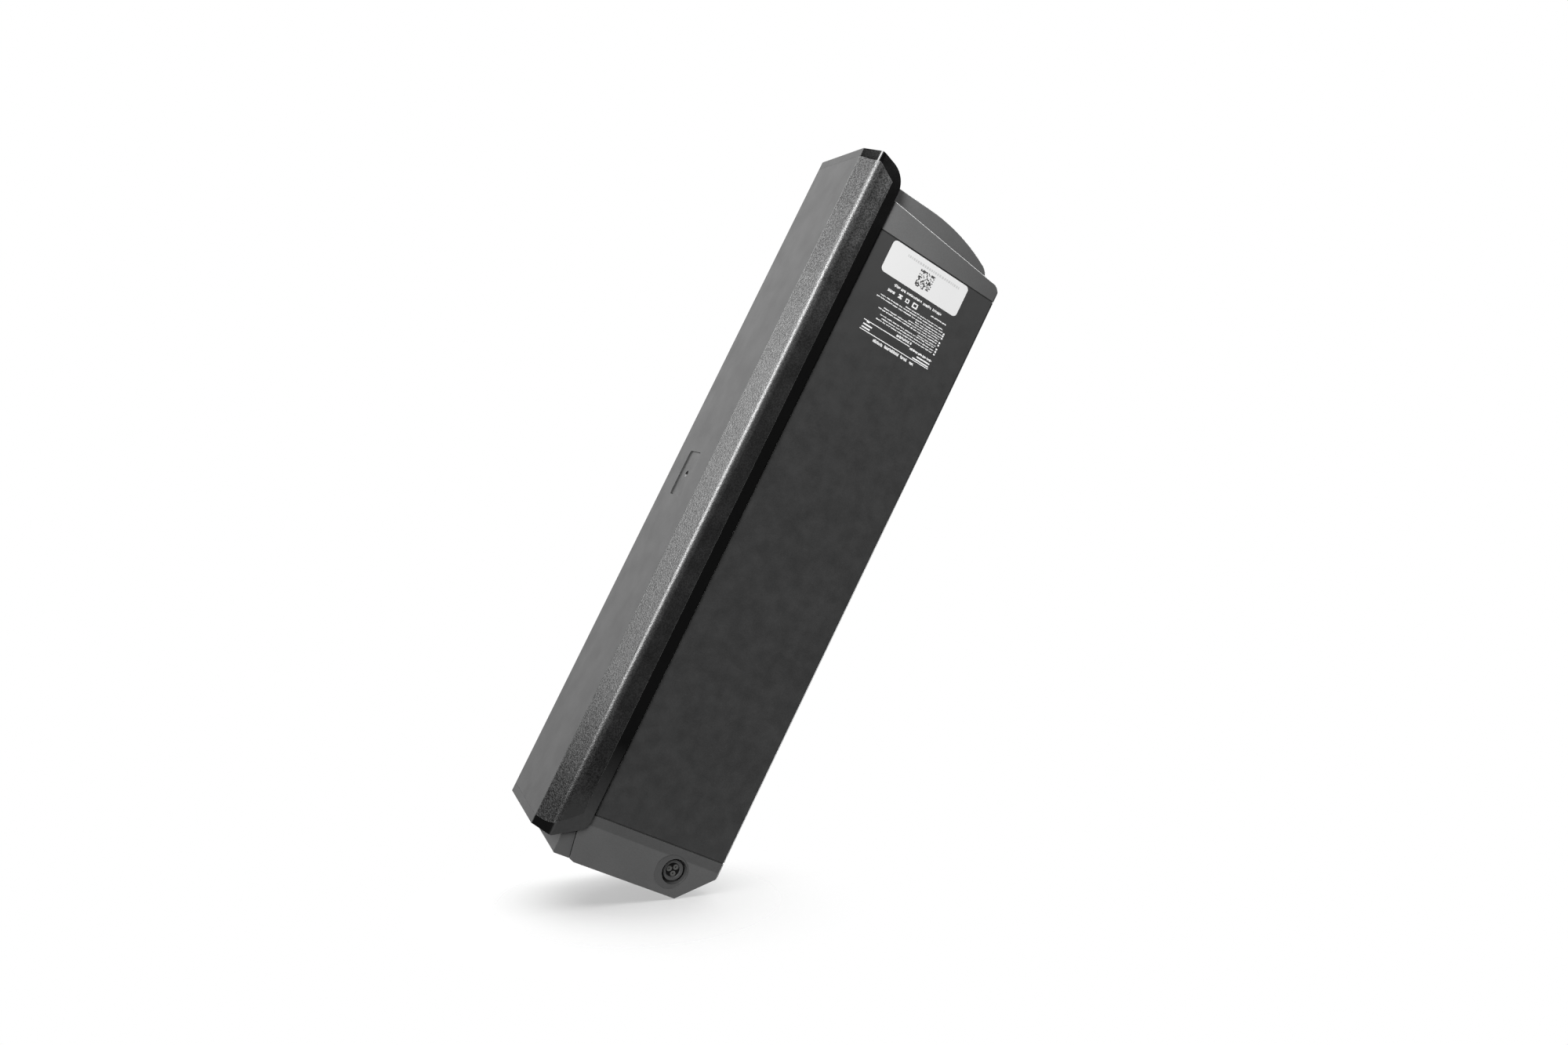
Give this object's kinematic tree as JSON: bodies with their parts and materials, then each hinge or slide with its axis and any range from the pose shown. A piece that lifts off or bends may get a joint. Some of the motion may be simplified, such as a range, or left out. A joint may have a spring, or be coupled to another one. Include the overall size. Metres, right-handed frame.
{
  "type": "electric bicycle battery pack",
  "caption": "Long box-shaped down-tube battery pack with a chamfered cover, a charge socket in one end cap and a stepped nose with the discharge connector.",
  "frame": {"origin": "middle of the back face's plane, below the centre of the bounding box", "axes": "+X along the pack towards the nose with the discharge connector, +Z from the back to the cover's flat face, the charge socket's face looks along -Y"},
  "size_m": [0.4724, 0.082, 0.125],
  "materials": {
    "sleeve_aluminium": "satin dark grey anodised extrusion",
    "cap_plastic": "fine-grained dark grey moulding",
    "cover_gloss": "glossy black moulding",
    "cover_skin": "satin grey top, grained chamfers and sides",
    "soft_black": "matte",
    "panel_plastic": "satin",
    "button_plastic": "satin",
    "spring_steel": "bright",
    "circuit_board": "satin lacquer",
    "led_body": "gloss",
    "clear_guide": "clear moulding",
    "socket_metal": "satin dark grey",
    "socket_black": "semi-gloss",
    "contact_metal": "plated",
    "plain_steel": "satin",
    "label_film": "matt white film",
    "print_ink": "light print",
    "cell_can": "shrink wrap over a drawn can",
    "holder_plastic": "moulded",
    "nickel": "satin strip",
    "barrier_board": "pressed board",
    "chip_black": "moulded",
    "bare_aluminium": "milled",
    "tinned_metal": "tinned",
    "fuse_case": "lacquered",
    "lead_jacket": "silicone",
    "ribbon_red": "flat cable"
  },
  "bodies": {
    "pack": {"case_sleeve": "sleeve_aluminium", "connector_end_cap": "cap_plastic", "latch_block": "cap_plastic", "nose_end_cap": "cap_plastic", "connector_gasket": "soft_black", "nose_gasket": "soft_black", "cover_base": "cover_gloss", "cover_skin": "cover_skin", "cover_gasket": "soft_black", "indicator_panel": "panel_plastic", "button_dome": "spring_steel", "indicator_board": "circuit_board", "indicator_leds": "led_body", "light_guide": "clear_guide", "charge_socket_shell": "socket_metal", "charge_socket_insert": "socket_black", "charge_socket_contacts": "contact_metal", "charge_socket_nut": "plain_steel", "charge_socket_seal": "soft_black", "lock_bush": "plain_steel", "discharge_connector_body": "socket_black", "discharge_power_blades": "contact_metal", "discharge_signal_pins": "contact_metal", "discharge_connector_screws": "plain_steel", "connector_cap_screws": "plain_steel", "nose_cap_screws": "plain_steel", "latch_block_screws": "plain_steel", "identity_label": "label_film", "rating_print": "print_ink", "cell_group_01": "cell_can", "cell_group_02": "cell_can", "cell_group_03": "cell_can", "cell_group_04": "cell_can", "cell_group_05": "cell_can", "cell_group_06": "cell_can", "cell_group_07": "cell_can", "cell_group_08": "cell_can", "cell_group_09": "cell_can", "cell_group_10": "cell_can", "cell_group_11": "cell_can", "cell_group_12": "cell_can", "cell_group_13": "cell_can", "cell_holder_left": "holder_plastic", "cell_holder_right": "holder_plastic", "nickel_strips_left": "nickel", "nickel_strips_right": "nickel", "insulation_sheets": "barrier_board", "foam_pads": "soft_black", "bms_board": "circuit_board", "bms_mosfets": "chip_black", "bms_heatsink": "bare_aluminium", "bms_terminals": "tinned_metal", "pack_fuse": "fuse_case", "negative_strap": "lead_jacket", "balance_ribbon": "ribbon_red", "charge_leads": "lead_jacket", "discharge_leads": "lead_jacket", "indicator_ribbon": "ribbon_red"},
    "button": {"state_button": "button_plastic"}
  },
  "joints": [
    {"name": "button_press", "type": "slide", "parent": "pack", "child": "button", "axis": [0, 0, -1], "range_m": [0, 0.0008], "stiffness_N_per_m": 2500, "deforming": ["button_dome"]}
  ]
}
